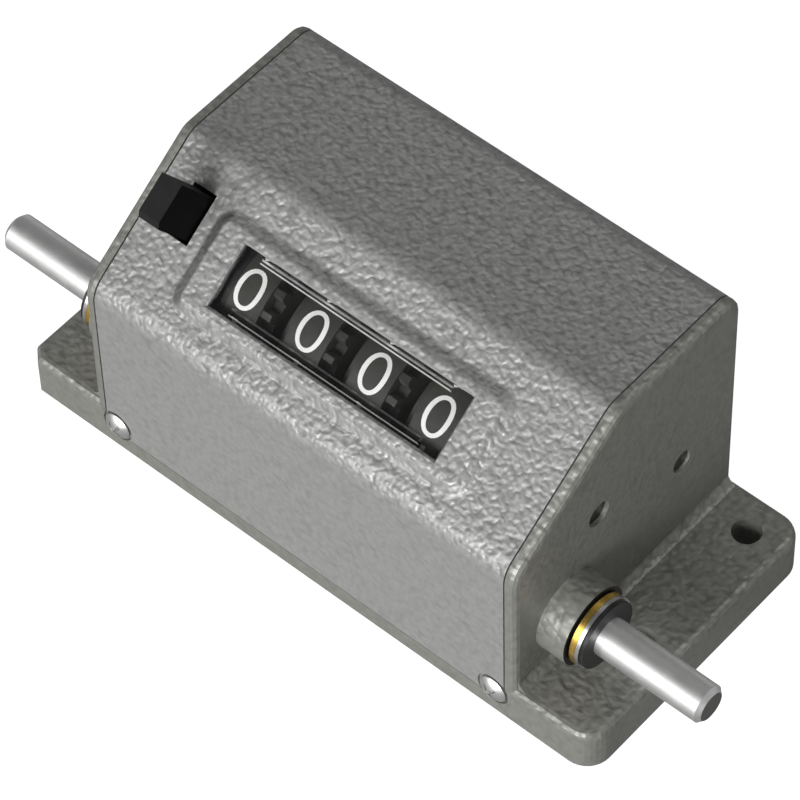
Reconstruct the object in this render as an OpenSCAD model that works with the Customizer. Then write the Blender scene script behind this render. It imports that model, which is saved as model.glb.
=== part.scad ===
// Four-figure revolution counter with a through shaft and a zero button.
// X runs along the shaft, Y from front to back, Z up from the mounting surface.

/* [Housing] */
// Length over the two mounting flanges
flange_length = 106.4; // [104:0.2:112]
// Length over the two end walls
body_length = 79; // [78.4:0.2:84]
// Depth of the housing from front to back
body_depth = 48; // [47:0.2:52]
// Height of the housing
body_height = 49.4; // [48.6:0.2:54]
// Height of the edge where the front turns into the sloping face
knee_height = 34; // [33:0.2:35]
// Slope of the sloping face above the horizontal
slope_angle = 35; // [34:0.5:37]
// Thickness of the mounting flanges
flange_thickness = 7.5; // [5:0.1:8.5]
// Thickness of the floor between the end walls
floor_thickness = 3; // [2.4:0.1:3.6]
// Thickness of the lip of each end wall, which shows outside the cover
lip_thickness = 1.8; // [1.6:0.1:2.4]
// Thickness of the step inside each lip, which carries the cover
step_thickness = 2; // [1.6:0.1:2.6]
// Rounding of the flange corners
flange_corner_r = 4; // [3.5:0.5:5]
// Straight cut across the front corner of the left flange
left_corner_cut = 1.9; // [1.6:0.1:2]
// Rounding of the outer edges of the casting
edge_r = 1.1; // [0.6:0.1:1.4]
// Rounding of the front edge
knee_r = 4.5; // [3:0.5:6]
// Rounding between the sloping face and the top
bend_r = 4; // [3:0.5:6]
// Rounding of the rear top edge
rear_r = 3.2; // [2.4:0.2:5]
// Diameter of the mounting holes
mount_hole_d = 4.5; // [3.4:0.1:5.5]
// Spacing of the mounting holes along the shaft
mount_spacing_x = 94; // [92:0.5:96]
// Spacing of the mounting holes from front to back
mount_spacing_y = 24; // [20:0.5:26]
// Distance of the mounting holes behind the middle of the base
mount_offset_y = 6; // [4:0.5:8]

/* [Cover] */
// Wall thickness of the cover
cover_wall = 1.5; // [1.2:0.1:1.8]
// Gap between the cover and the lips, and under its lower edge
cover_gap = 0.25; // [0.1:0.05:0.4]
// Clearance between the cover and the steps that carry it
cover_clearance = 0.1; // [0.05:0.05:0.2]
// Height of the raised pad round the window
pad_height = 1.2; // [0.8:0.1:1.6]
// Run of the sloped sides of the pad
pad_slope_run = 2.3; // [1:0.1:2.4]
// Width of the flat of the pad beside the window
pad_side = 4; // [3:0.1:5]
// Width of the flat of the pad above and below the window
pad_edge = 1.2; // [1:0.1:2]
// Height of the window along the slope
window_height = 10.1; // [9.5:0.1:10.6]
// Distance of the window's middle up the slope from the front edge
window_up = 12.65; // [12:0.05:13]
// Bevel round the edge of the window
window_rim = 0.3; // [0.1:0.05:0.4]
// Clearance between the window's ends and the outer wheels
window_margin = 0.4; // [0.3:0.05:0.8]
// Thickness of the lens
lens_thickness = 0.9; // [0.7:0.05:1]
// Height of the two ribs along the long edges of the lens
lens_rib = 0.45; // [0.3:0.05:0.5]
// Length of the ribs
lens_rib_length = 34.7; // [30:0.1:38]
// Width of the upper rib
upper_rib = 0.8; // [0.6:0.05:1]
// Width of the lower rib
lower_rib = 1.2; // [1:0.05:1.6]
// Fit of the lens in the window
lens_fit = 0.1; // [0.05:0.05:0.2]

/* [Figure wheels] */
// Distance between neighbouring wheels
wheel_pitch = 11.4; // [11.3:0.1:12]
// Radius of the figure band
wheel_r = 12.2; // [11.6:0.1:12.4]
// Width of the figure band
band_width = 6.4; // [6:0.1:6.6]
// Depth of the figure bands below the sloping face
wheel_depth = 0.8; // [0.7:0.05:1.2]
// Height of a figure
figure_height = 6.2; // [5.5:0.1:6.4]
// Width of a figure
figure_width = 4.2; // [3.6:0.1:4.6]
// Width of a figure's stroke
figure_stroke = 0.85; // [0.6:0.05:1]
// Diameter of the wheel axle
axle_d = 4.2; // [3.6:0.1:4.4]
// Thickness of the tooth ring and of the locking ring
ring_width = 1.7; // [1.4:0.1:1.8]
// Largest radius of the heart cams
heart_r = 7.2; // [6.8:0.1:7.4]
// Running clearance of every bore on its shaft
running_clearance = 0.05; // [0.03:0.01:0.08]

/* [Gears] */
// Module of the figure transfer teeth
carry_module = 1.1; // [1.08:0.01:1.12]
// Teeth of the ring on each wheel
ring_teeth = 20; // [20]
// Teeth of the transfer pinions
pinion_teeth = 8; // [8]
// Module of the drive gears
drive_module = 0.8; // [0.78:0.01:0.82]
// Teeth of each drive gear
drive_teeth = 20; // [20]
// Face width of the drive gears
gear_width = 3; // [2.4:0.1:3.2]
// Thinning of every tooth for backlash
backlash = 0.16; // [0.12:0.02:0.24]
// Diameter of the pinion axle
pinion_axle_d = 3; // [2.4:0.1:3.2]

/* [Drive shaft] */
// Diameter of the drive shaft
shaft_d = 6; // [5.6:0.1:6.2]
// Overall length of the drive shaft
shaft_length = 130; // [124:0.5:140]
// Diameter of the bosses
boss_d = 12.8; // [12:0.1:13.4]
// Length of the bosses outside the end walls
boss_length = 4.8; // [4:0.1:6]
// Outer diameter of the bearing bushes
bush_d = 9; // [8.4:0.1:9.6]
// Diameter of the bush flange and the thrust washer
flange_d = 11.4; // [10.8:0.1:11.8]
// Thickness of the bush flange
bush_flange = 0.9; // [0.8:0.1:1.4]
// Thickness of the dark gasket behind the bush flange
gasket_thickness = 0.4; // [0.3:0.05:0.6]
// Thickness of the thrust washers
washer_thickness = 0.6; // [0.3:0.05:0.7]
// Diameter of the black retaining rings
collar_d = 10.8; // [9.6:0.1:11.4]
// Thickness of the black retaining rings
collar_thickness = 0.6; // [0.5:0.1:1.2]
// Depth of the shaft grooves that hold the retaining rings
groove_depth = 0.4; // [0.3:0.05:0.6]

/* [Zero reset] */
// Width of the button
button_width = 3.7; // [3.2:0.1:4]
// Length of the button along the slope
button_length = 7; // [6.4:0.1:7.4]
// Height of the button above the sloping face
button_height = 10.1; // [8:0.1:12]
// Travel of the button
button_travel = 4; // [3:0.1:4]
// Distance of the button's middle up the slope from the front edge
button_up = 16.85; // [16.6:0.05:17.1]
// Distance of the button from the middle of the counter
button_x = -30.85; // [-31:0.05:-30.6]
// Clearance of the button in its slot
button_clearance = 0.25; // [0.2:0.05:0.35]
// Extra length of the slot beyond the button at each end
slot_extra = 0.6; // [0.4:0.05:0.8]
// Diameter of the reset shaft
reset_shaft_d = 3.6; // [3:0.1:3.8]
// Gap between the top of the cover and the raised hammers
hammer_top_gap = 2.7; // [2:0.1:3.4]
// Gap left between the hammers and the heart cams when they are down
hammer_gap = 0.4; // [0.3:0.05:0.6]
// Wire diameter of the button spring
spring_wire = 0.5; // [0.4:0.05:0.6]
// Outer diameter of the button spring
spring_d = 5.8; // [5.4:0.1:6]

/* [Hidden] */
$fn = 64;

// Side profile of the housing, in the plane across the shaft
front_y = -body_depth / 2;
rear_y = body_depth / 2;
knee_turn = 90 - slope_angle;
bend_y = front_y + (body_height - knee_height) / tan(slope_angle);
knee_centre = [front_y + knee_r, knee_height - knee_r * tan(knee_turn / 2)];
bend_centre = [bend_y + bend_r * tan(slope_angle / 2), body_height - bend_r];
rear_centre = [rear_y - rear_r, body_height - rear_r];
slope_out = [-sin(slope_angle), cos(slope_angle)];
slope_up = [cos(slope_angle), sin(slope_angle)];

// Places along the shaft
wall_out = body_length / 2;
lip_in = wall_out - lip_thickness;
wall_in = lip_in - step_thickness;
boss_end = wall_out + boss_length;
inner_boss = 2;
bush_in = wall_in - inner_boss;
cover_end = lip_in - cover_gap;
flange_start = boss_end + gasket_thickness;
washer_start = flange_start + bush_flange + running_clearance;
collar_start = washer_start + washer_thickness + running_clearance;
groove_r = shaft_d / 2 - groove_depth;

// Wheels: local X is 0 at the middle of the figure band
wheel_count = 4;
band_half = band_width / 2;
ring_out = band_half + ring_width;
side_gap = 0.2;
heart_start = ring_out + side_gap / 2;
heart_width = 1.2;
hub_right = heart_start + heart_width;
hub_left = -(wheel_pitch - hub_right - 2 * running_clearance);
hub_r = 4;
bore_r = axle_d / 2 + running_clearance;
read_angle = 90 + slope_angle;
figure_step = 36;

// Axis of the wheels, straight under the middle of the window
axis_depth = wheel_r + wheel_depth;
wheel_axis = slope_point(window_up, -axis_depth);

// Transfer gearing: the pinions lie eleven ring teeth round from the reading line
carry_distance = carry_module * (ring_teeth + pinion_teeth) / 2;
ring_pitch_angle = 360 / ring_teeth;
pinion_angle = read_angle - 11 * ring_pitch_angle;
pinion_axis = polar(wheel_axis, carry_distance, pinion_angle);
carry_addendum = 0.75 * carry_module;
carry_dedendum = 1.1 * carry_module;
carry_reach = 0.55 * carry_module;
pinion_tip_r = carry_module * pinion_teeth / 2 + carry_addendum;
lock_clearance = 0.35;
lock_r = carry_distance - pinion_tip_r - lock_clearance;
pinion_start = band_half + side_gap;
pinion_end = wheel_pitch - band_half - side_gap;
full_tooth_end = ring_out + side_gap;

// Drive gearing on the shaft and beside the units wheel
drive_distance = drive_module * drive_teeth;
drive_angle = -115.5;
shaft_axis = polar(wheel_axis, drive_distance, drive_angle);
drive_addendum = 0.95 * drive_module;
drive_dedendum = 1.2 * drive_module;
units_x = wheel_pitch * (wheel_count - 1) / 2;
clutch_thickness = 0.3;
clutch_x = units_x + hub_right + running_clearance;
gear_x = clutch_x + clutch_thickness + running_clearance;
gear_hub = 3;
gear_hub_r = 5.2;
inner_collar_width = 2.6;
inner_collar_x = bush_in - side_gap - inner_collar_width;

// Reset gear: the hammers come down square on the line from wheel axis to hammer face
reset_distance = 19.4;
reset_angle = -20.5;
reset_axis = polar(wheel_axis, reset_distance, reset_angle);
hammer_face_r = heart_r + hammer_gap;
hammer_reach = sqrt(pow(reset_distance, 2) - pow(hammer_face_r, 2));
hammer_down = reset_angle + 180 - asin(hammer_face_r / reset_distance);
hammer_head = 3.7;
hammer_bar = 2.2;
hammer_root = 0.8;
hammer_width = 1;
hammer_local_x = heart_start + heart_width / 2;
hammer_room = body_height - cover_wall - hammer_top_gap - reset_axis[1];
hammer_rest = 180 - asin(min(1, hammer_room / (hammer_reach + hammer_head)));
hammer_swing = hammer_down - hammer_rest;
sleeve_bore_r = reset_shaft_d / 2 + running_clearance;
sleeve_wall = 1.3;
sleeve_r = sleeve_bore_r + sleeve_wall;
sleeve_overrun = 2.5;
sleeve_end = units_x + hammer_local_x + sleeve_overrun;
reset_hub_r = sleeve_r + 1.2;

// Push rod of the button, seen from the reset axis: its offset down the slope and its tip
reset_up = slope_s(reset_axis);
reset_depth = -slope_n(reset_axis);
rod_offset = 5.5;
rod_up = reset_up - rod_offset;
rod_width = 2.4;
rod_length = 3.4;
nose_r = 0.9;
lever_half = 1;
lever_gap = 0.25;
nose_height = (lever_half + lever_gap + nose_r + rod_offset * sin(hammer_swing / 2)) / cos(hammer_swing / 2);
nose_depth = reset_depth - nose_height;
lever_rest = 180 + slope_angle - hammer_swing / 2;
lever_length = 9;
shoulder_depth = cover_wall + 0.3;
shoulder_thickness = 1.4;
spring_top = shoulder_depth + shoulder_thickness;
spring_bottom = 11;
guide_thickness = 1.2;
guide_from = window_up + 3.35;
guide_to = rod_up + rod_length / 2 + 2;

// Fasteners
cover_screw_x = cover_end - 1.95;
cover_screw_z = floor_thickness + 1.7;
cover_screw_r = 1.5;
cover_head_r = 2.3;
cover_head_height = 1.5;
notch_r = cover_head_r + 0.45;
notch_depth = 0.5;
tap_fit = 0.03;

function polar(centre, r, angle) = centre + r * [cos(angle), sin(angle)];
function slope_point(up, out) = [front_y, knee_height] + up * slope_up + out * slope_out;
function slope_s(p) = (p - [front_y, knee_height]) * slope_up;
function slope_n(p) = (p - [front_y, knee_height]) * slope_out;

// A gear tooth's half angle at radius r, from the involute of its base circle
function involute(angle) = tan(angle) * 180 / PI - angle;
function pressure(r, base_r) = acos(min(1, base_r / r));
function half_angle(r, pitch_r, teeth) =
    let (base_r = pitch_r * cos(20))
    90 / teeth - backlash / pitch_r * 90 / PI
    + involute(pressure(pitch_r, base_r)) - involute(pressure(max(r, base_r), base_r));
function tooth_radii(root_r, pitch_r, tip_r) =
    let (start_r = max(root_r, pitch_r * cos(20)))
    [root_r, start_r, (start_r + 2 * pitch_r) / 3, (pitch_r + tip_r) / 2, tip_r];

module on_slope(x, up, out) {
    p = slope_point(up, out);
    translate([x, p[0], p[1]]) rotate([slope_angle, 0, 0]) children();
}

// Extrudes a shape drawn across the shaft (Y, Z) along X, from x to x + length
module across(x, length) {
    translate([x, 0, 0]) rotate([90, 0, 90]) linear_extrude(length) children();
}

// A round bar or tube along X, at a point across the shaft
module bar(centre, x, length, r) {
    translate([x, centre[0], centre[1]]) rotate([0, 90, 0]) cylinder(r = r, h = length);
}

module tube(centre, x, length, r, hole_r) {
    difference() {
        bar(centre, x, length, r);
        bar(centre, x - 1, length + 2, hole_r);
    }
}

module both_ends() {
    children();
    mirror([1, 0, 0]) children();
}

// The housing's side outline, drawn smaller by inset
module side_outline(inset, bottom) {
    polygon([[front_y + inset, bottom],
        [front_y + inset, knee_centre[1]],
        knee_centre + (knee_r - inset) * slope_out,
        bend_centre + (bend_r - inset) * slope_out,
        [bend_centre[0], body_height - inset],
        [rear_centre[0], body_height - inset],
        [rear_y - inset, rear_centre[1]],
        [rear_y - inset, bottom]]);
    translate(knee_centre) circle(knee_r - inset);
    translate(bend_centre) circle(bend_r - inset);
    translate(rear_centre) circle(rear_r - inset);
}

// The outline of a flange; with cut above 0 its front corner is cut straight instead of round
module flange_outline(inset, cut) {
    end_x = flange_length / 2 - inset;
    end_y = rear_y - inset;
    corner_x = flange_length / 2 - flange_corner_r;
    corner_y = rear_y - flange_corner_r;
    leg = cut - inset * (2 - sqrt(2));
    translate([lip_in, -end_y]) square([corner_x - lip_in, 2 * end_y]);
    translate([lip_in, -corner_y]) square([end_x - lip_in, 2 * corner_y]);
    for (side = [-1, 1])
        translate([corner_x, side * corner_y]) circle(flange_corner_r - inset);
    if (cut > 0)
        polygon([[corner_x, -corner_y], [corner_x, -end_y], [end_x - leg, -end_y],
            [end_x, leg - end_y], [end_x, -corner_y]]);
}

module flange_plate(cut) {
    skin = 0.01;
    hull() {
        linear_extrude(flange_thickness - edge_r) flange_outline(0, cut, $fn = 32);
        for (turn = [30, 60, 90])
            translate([0, 0, flange_thickness - edge_r * (1 - sin(turn)) - skin])
                linear_extrude(skin) flange_outline(edge_r * (1 - cos(turn)), cut, $fn = 32);
    }
}

module end_lip() {
    skin = 0.01;
    hull() {
        across(lip_in, lip_thickness - edge_r) side_outline(0, 0, $fn = 32);
        for (turn = [30, 60, 90])
            across(wall_out - edge_r * (1 - sin(turn)) - skin, skin)
                side_outline(edge_r * (1 - cos(turn)), 0, $fn = 32);
    }
}

module base_casting() {
    lug_width = wall_in - (cover_screw_x - cover_screw_r - 1.5);
    lug_height = cover_screw_z + cover_screw_r + 1.5;
    inset = cover_wall + cover_clearance;
    color("#8d8f8d") difference() {
        union() {
            translate([-lip_in, front_y, 0]) cube([2 * lip_in, body_depth, floor_thickness]);
            flange_plate(0);
            mirror([1, 0, 0]) flange_plate(left_corner_cut);
            both_ends() {
                end_lip();
                across(wall_in, step_thickness + 0.1) side_outline(inset, 0);
                bar(shaft_axis, bush_in, boss_end - bush_in, boss_d / 2);
                for (side = [0, 1]) mirror([0, side, 0])
                    translate([wall_in - lug_width, front_y + inset, 0])
                        cube([lug_width + 0.1, 9, lug_height]);
            }
        }
        both_ends() {
            bar(shaft_axis, bush_in - 1, boss_end - bush_in + 2, bush_d / 2);
            for (side = [-1, 1]) {
                translate([mount_spacing_x / 2, mount_offset_y + side * mount_spacing_y / 2, -1])
                    cylinder(d = mount_hole_d, h = flange_thickness + 2);
                translate([cover_screw_x, side * (rear_y - 8), cover_screw_z])
                    rotate([-90 * side, 0, 0]) cylinder(r = cover_screw_r + tap_fit, h = 10);
                translate([cover_screw_x, side * rear_y, cover_screw_z])
                    rotate([90 * side, 0, 0]) translate([0, 0, -1])
                        cylinder(r = notch_r, h = notch_depth + 1);
            }
            bar(wheel_axis, wall_in - 1, wall_out - wall_in + 2, axle_d / 2 + tap_fit);
            bar(reset_axis, wall_in - 1, wall_out - wall_in + 2, reset_shaft_d / 2 + tap_fit);
        }
        for (x = bracket_screw_places())
            translate([x, bracket_screw_y(), -1]) cylinder(r = 1.25 + tap_fit, h = floor_thickness + 2);
        guide_screw_place() cylinder(r = 1 + tap_fit, h = step_thickness + 1.2);
    }
}

// The raised pad round the window, pressed out of the sheet with softly rounded slopes
window_length = wheel_pitch * (wheel_count - 1) + band_width + 2 * window_margin;
pad_length = window_length + 2 * pad_side + 2 * pad_slope_run;
pad_width = window_height + 2 * pad_edge + 2 * pad_slope_run;
pad_shares = [0, 0.12, 0.25, 0.75, 0.88, 1];

module rounded_slab(length, width, corner, height) {
    linear_extrude(height) {
        square([length, width - 2 * corner], center = true);
        square([length - 2 * corner, width], center = true);
        for (i = [-1, 1], j = [-1, 1])
            translate([i * (length / 2 - corner), j * (width / 2 - corner)]) circle(corner, $fn = 32);
    }
}

// How high the pad's side stands at a share of its run: straight, with rounded ends
function pad_rise(share) =
    let (end = 0.25, near = min(share, 1 - share))
    near < end ? abs((share < 0.5 ? 0 : 1) - near * near / (2 * end * (1 - end)))
    : (share - end / 2) / (1 - end);

// One level of the pad; the share runs from 0 at its foot to 1 at its flat
module pad_level(share) {
    inset = pad_slope_run * share;
    skin = 0.01;
    translate([0, 0, pad_height * pad_rise(share) - skin])
        rounded_slab(pad_length - 2 * inset, pad_width - 2 * inset, pad_slope_run + 0.8 - inset, skin);
}

module pad() {
    sink = cover_wall / 2;
    translate([0, 0, -sink]) rounded_slab(pad_length, pad_width, pad_slope_run + 0.8, sink);
    for (i = [1 : len(pad_shares) - 1]) hull() {
        pad_level(pad_shares[i - 1]);
        pad_level(pad_shares[i]);
    }
}

// A flat-sided block whose four sides lean in by run towards its top; its foot goes on below
module sloped_block(length, width, run, height, below) {
    intersection() {
        rotate([90, 0, 0]) translate([0, 0, -width / 2]) linear_extrude(width)
            trapezoid(length, run, height, below);
        rotate([90, 0, 90]) translate([0, 0, -length / 2]) linear_extrude(length)
            trapezoid(width, run, height, below);
    }
}

module trapezoid(base, run, height, below) {
    polygon([[-base / 2, -below], [base / 2, -below], [base / 2, 0],
        [base / 2 - run, height], [run - base / 2, height], [-base / 2, 0]]);
}

module cover() {
    bottom = floor_thickness + 0.1;
    slot_width = button_width + 2 * button_clearance;
    slot_length = button_length + 2 * slot_extra;
    pocket_length = pad_length - 2 * pad_slope_run - 2;
    pocket_width = pad_width - 2 * pad_slope_run - 1;
    rim = window_rim + 0.1;
    color("#929492") difference() {
        union() {
            difference() {
                across(-cover_end, 2 * cover_end) side_outline(0, bottom);
                across(-cover_end - 1, 2 * cover_end + 2) side_outline(cover_wall, bottom - 1);
            }
            on_slope(0, window_up, 0) pad();
        }
        on_slope(0, window_up, pad_height - 2 * cover_wall)
            translate([-pocket_length / 2, -pocket_width / 2, 0])
                cube([pocket_length, pocket_width, cover_wall]);
        on_slope(0, window_up, 0) translate([-window_length / 2, -window_height / 2, -3])
            cube([window_length, window_height, 6]);
        on_slope(0, window_up, pad_height + 0.1) mirror([0, 0, 1])
            sloped_block(window_length + 2 * rim, window_height + 2 * rim, rim, rim, 1);
        on_slope(button_x, button_up, 0) translate([-slot_width / 2, -slot_length / 2, -3])
            cube([slot_width, slot_length, 5]);
        both_ends() for (side = [-1, 1])
            translate([cover_screw_x, side * rear_y, cover_screw_z]) rotate([90 * side, 0, 0]) {
                translate([0, 0, -1]) cylinder(r = notch_r, h = notch_depth + 1);
                cylinder(r = cover_screw_r + 0.2, h = cover_wall + 1);
            }
    }
}

module window_lens() {
    length = window_length - 2 * lens_fit;
    width = window_height - 2 * lens_fit;
    edge = 0.35;
    lean = 0.25;
    under = 0.35;
    color("#c8d0d2", 0.35) on_slope(0, window_up, -under) {
        translate([-length / 2, -width / 2, 0]) cube([length, width, lens_thickness]);
        translate([0, width / 2 - edge - upper_rib / 2, lens_thickness])
            sloped_block(lens_rib_length, upper_rib, lean, lens_rib, 0.1);
        translate([0, edge + lower_rib / 2 - width / 2, lens_thickness])
            sloped_block(lens_rib_length, lower_rib, lean, lens_rib, 0.1);
    }
}

module cover_screws() {
    color("#cfd1d2") both_ends() for (side = [-1, 1])
        translate([cover_screw_x, side * (rear_y - notch_depth), cover_screw_z])
            rotate([-90 * side, 0, 0]) difference() {
                union() {
                    translate([0, 0, -6]) cylinder(r = cover_screw_r, h = 6.1);
                    cylinder(r = cover_head_r, h = cover_head_height * 0.4);
                    intersection() {
                        cylinder(r = cover_head_r, h = cover_head_height);
                        translate([0, 0, cover_head_height - dome_r()]) sphere(r = dome_r());
                    }
                }
                for (turn = [45, 135]) rotate([0, 0, turn])
                    translate([-cover_head_r * 0.6, -0.25, cover_head_height - 0.8])
                        cube([cover_head_r * 1.2, 0.5, 1]);
            }
}

// Radius of the sphere that rounds a screw head down to two fifths of its height at its rim
function dome_r() =
    let (rise = cover_head_height * 0.6) (pow(cover_head_r, 2) + pow(rise, 2)) / (2 * rise);

module bearing_bushes() {
    color("#c9a24a") both_ends() difference() {
        union() {
            bar(shaft_axis, bush_in, flange_start - bush_in + 0.1, bush_d / 2);
            bar(shaft_axis, flange_start, bush_flange, flange_d / 2);
        }
        bar(shaft_axis, bush_in - 1, flange_start - bush_in + bush_flange + 2,
            shaft_d / 2 + running_clearance);
    }
}

module bush_gaskets() {
    color("#1b1b1b") both_ends()
        tube(shaft_axis, boss_end, gasket_thickness, flange_d / 2 - 0.5, bush_d / 2 + tap_fit);
}

module drive_shaft() {
    chamfer = 0.7;
    half = shaft_length / 2;
    r = shaft_d / 2;
    groove_end = collar_start + collar_thickness;
    color("#b9bbbd") translate([0, shaft_axis[0], shaft_axis[1]]) rotate([0, 90, 0])
        difference() {
            rotate_extrude() polygon([[0, -half], [r - chamfer, -half], [r, chamfer - half],
                [r, -groove_end], [groove_r, -groove_end], [groove_r, -collar_start], [r, -collar_start],
                [r, collar_start], [groove_r, collar_start], [groove_r, groove_end], [r, groove_end],
                [r, half - chamfer], [r - chamfer, half], [0, half]]);
            translate([0, 0, gear_pin_x()]) rotate([90, 0, 0]) translate([0, 0, -r - 1])
                cylinder(r = gear_pin_r + tap_fit, h = 2 * r + 2);
        }
}

module thrust_washers() {
    color("#a7a9ab") both_ends()
        tube(shaft_axis, washer_start, washer_thickness, flange_d / 2, shaft_d / 2 + tap_fit);
}

// Retaining rings, open on the lower rear side so that they push on over their grooves
module outer_collars() {
    open_angle = -60;
    fit = tap_fit / 2;
    color("#202122") both_ends() difference() {
        tube(shaft_axis, collar_start + fit, collar_thickness - 2 * fit, collar_d / 2, groove_r + tap_fit);
        translate([collar_start - 1, shaft_axis[0], shaft_axis[1]]) rotate([open_angle, 0, 0])
            translate([0, 0, -groove_r]) cube([collar_thickness + 2, collar_d, 2 * groove_r]);
    }
}

module inner_collars() {
    color("#8f9193") both_ends()
        tube(shaft_axis, inner_collar_x, inner_collar_width, shaft_d / 2 + 2.2, shaft_d / 2 + tap_fit);
}

module tooth(root_r, pitch_r, tip_r, teeth) {
    radii = tooth_radii(root_r, pitch_r, tip_r);
    right = [for (r = radii) polar([0, 0], r, -half_angle(r, pitch_r, teeth))];
    left = [for (i = [len(radii) - 1 : -1 : 0])
        polar([0, 0], radii[i], half_angle(radii[i], pitch_r, teeth))];
    polygon(concat([[0, 0]], right, left));
}

// A spur gear outline; its first tooth and the step from tooth to tooth can leave some out
module gear_outline(size, teeth, addendum, dedendum, first = 0, step = 1) {
    pitch_r = size * teeth / 2;
    circle(pitch_r - dedendum);
    for (i = [first : step : teeth - 1])
        rotate(i * 360 / teeth)
            tooth(pitch_r - dedendum, pitch_r, pitch_r + addendum, teeth);
}

// The gap that the photo shows at the reading line lies between two ring teeth
module ring_outline() {
    rotate(read_angle + ring_pitch_angle / 2)
        gear_outline(carry_module, ring_teeth, carry_addendum, carry_dedendum);
}

module heart_outline() {
    low_r = 4.4;
    points = 36;
    polygon([for (i = [0 : points - 1])
        let (turn = i * 360 / points, share = 1 - abs(turn - 180) / 180)
        polar([0, 0], low_r + (heart_r - low_r) * share, turn + hammer_down + 90)]);
}

// One figure wheel: figure band, tooth ring on the right, locking ring with two carry teeth
// on the left, heart cam on the hub
module wheel_body() {
    recess_r = lock_r - 1.4;
    recess_floor = band_half - 1.6;
    carry_place = pinion_angle - ring_pitch_angle;
    ring_pitch_r = carry_module * ring_teeth / 2;
    difference() {
        union() {
            bar([0, 0], -band_half, band_width, wheel_r);
            bar([0, 0], -ring_out, ring_width + 0.1, lock_r);
            across(-ring_out, ring_width + 0.1) for (side = [-1, 1])
                rotate(carry_place + side * ring_pitch_angle / 2)
                    tooth(lock_r - 1, ring_pitch_r, ring_pitch_r + carry_reach, ring_teeth);
            across(band_half - 0.1, ring_width + 0.1) ring_outline();
            across(heart_start - 0.2, heart_width + 0.2) heart_outline();
            bar([0, 0], hub_left, hub_right - hub_left, hub_r);
        }
        tube([0, 0], -ring_out - 1, ring_out + recess_floor + 1, recess_r, hub_r);
        bar([0, 0], hub_left - 1, hub_right - hub_left + 2, bore_r);
    }
}

module figure_wheel(place) {
    x = units_x - place * wheel_pitch;
    color("#34332f") translate([x, wheel_axis[0], wheel_axis[1]]) wheel_body();
}

module units_wheel() { figure_wheel(0); }
module tens_wheel() { figure_wheel(1); }
module hundreds_wheel() { figure_wheel(2); }
module thousands_wheel() { figure_wheel(3); }

module wheel_axle() {
    recess = 0.7;
    color("#7d7f81") bar(wheel_axis, recess - wall_out, 2 * (wall_out - recess), axle_d / 2);
}

module axle_spacers() {
    right_x = gear_x + gear_width + running_clearance;
    left_end = -units_x + hub_left - running_clearance;
    color("#9a9c9e") {
        tube(wheel_axis, right_x, wall_in - right_x, 2.9, axle_d / 2 + tap_fit);
        tube(wheel_axis, -wall_in, wall_in + left_end, 2.9, axle_d / 2 + tap_fit);
    }
}

// Half a tooth of turn brings a gap of the drive gear to the tooth of the driven gear
module drive_gear() {
    color("#c2a04c") difference() {
        translate([0, shaft_axis[0], shaft_axis[1]]) {
            across(gear_x, gear_width) rotate(drive_angle + 180 + 180 / drive_teeth)
                gear_outline(drive_module, drive_teeth, drive_addendum, drive_dedendum);
            bar([0, 0], gear_x + gear_width - 0.1, gear_hub + 0.1, gear_hub_r);
        }
        bar(shaft_axis, gear_x - 1, gear_width + gear_hub + 2, shaft_d / 2 + tap_fit);
        translate([gear_pin_x(), shaft_axis[0], shaft_axis[1]]) rotate([90, 0, 0])
            translate([0, 0, -gear_hub_r - 1])
                cylinder(r = gear_pin_r + tap_fit, h = 2 * gear_hub_r + 2);
    }
}

gear_pin_r = 0.8;
function gear_pin_x() = gear_x + gear_width + gear_hub / 2;

module gear_pin() {
    color("#8a8c8e") translate([gear_pin_x(), shaft_axis[0], shaft_axis[1]]) rotate([90, 0, 0])
        translate([0, 0, -gear_hub_r]) cylinder(r = gear_pin_r, h = 2 * gear_hub_r);
}

module driven_gear() {
    color("#c2a04c") translate([0, wheel_axis[0], wheel_axis[1]]) difference() {
        across(gear_x, gear_width) rotate(drive_angle)
            gear_outline(drive_module, drive_teeth, drive_addendum, drive_dedendum);
        bar([0, 0], gear_x - 1, gear_width + 2, bore_r);
    }
}

module clutch_washer() {
    color("#a7a9ab") tube(wheel_axis, clutch_x, clutch_thickness, 3.8, bore_r);
}

// A transfer pinion: all its teeth reach the ring on its left, and every second one runs on
// over the locking ring of the wheel on its right. At rest two long teeth straddle that ring.
module transfer_pinion(place) {
    x = units_x - (place + 1) * wheel_pitch;
    color("#d8d6cc") translate([0, pinion_axis[0], pinion_axis[1]]) difference() {
        rotate([pinion_angle + 180, 0, 0]) {
            across(x + pinion_start, full_tooth_end - pinion_start)
                gear_outline(carry_module, pinion_teeth, carry_addendum, carry_dedendum);
            across(x + full_tooth_end - 0.1, pinion_end - full_tooth_end + 0.1)
                gear_outline(carry_module, pinion_teeth, carry_addendum, carry_dedendum, 1, 2);
        }
        bar([0, 0], x, wheel_pitch, pinion_axle_d / 2 + running_clearance);
    }
}

module units_pinion() { transfer_pinion(0); }
module tens_pinion() { transfer_pinion(1); }
module hundreds_pinion() { transfer_pinion(2); }

// The bracket stands on the floor and carries the pinion axle at both ends
bracket_plate = 1.2;
bracket_left = -units_x + hub_left - 1.6;
bracket_right = gear_x + gear_width + 1.2;
bracket_half = 4;
bracket_foot = 13;
axle_stub = 0.8;
function bracket_screw_places() = [bracket_left + 6, bracket_right - 6];
function bracket_screw_y() = pinion_axis[0] + bracket_foot - bracket_half - 4;

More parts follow.
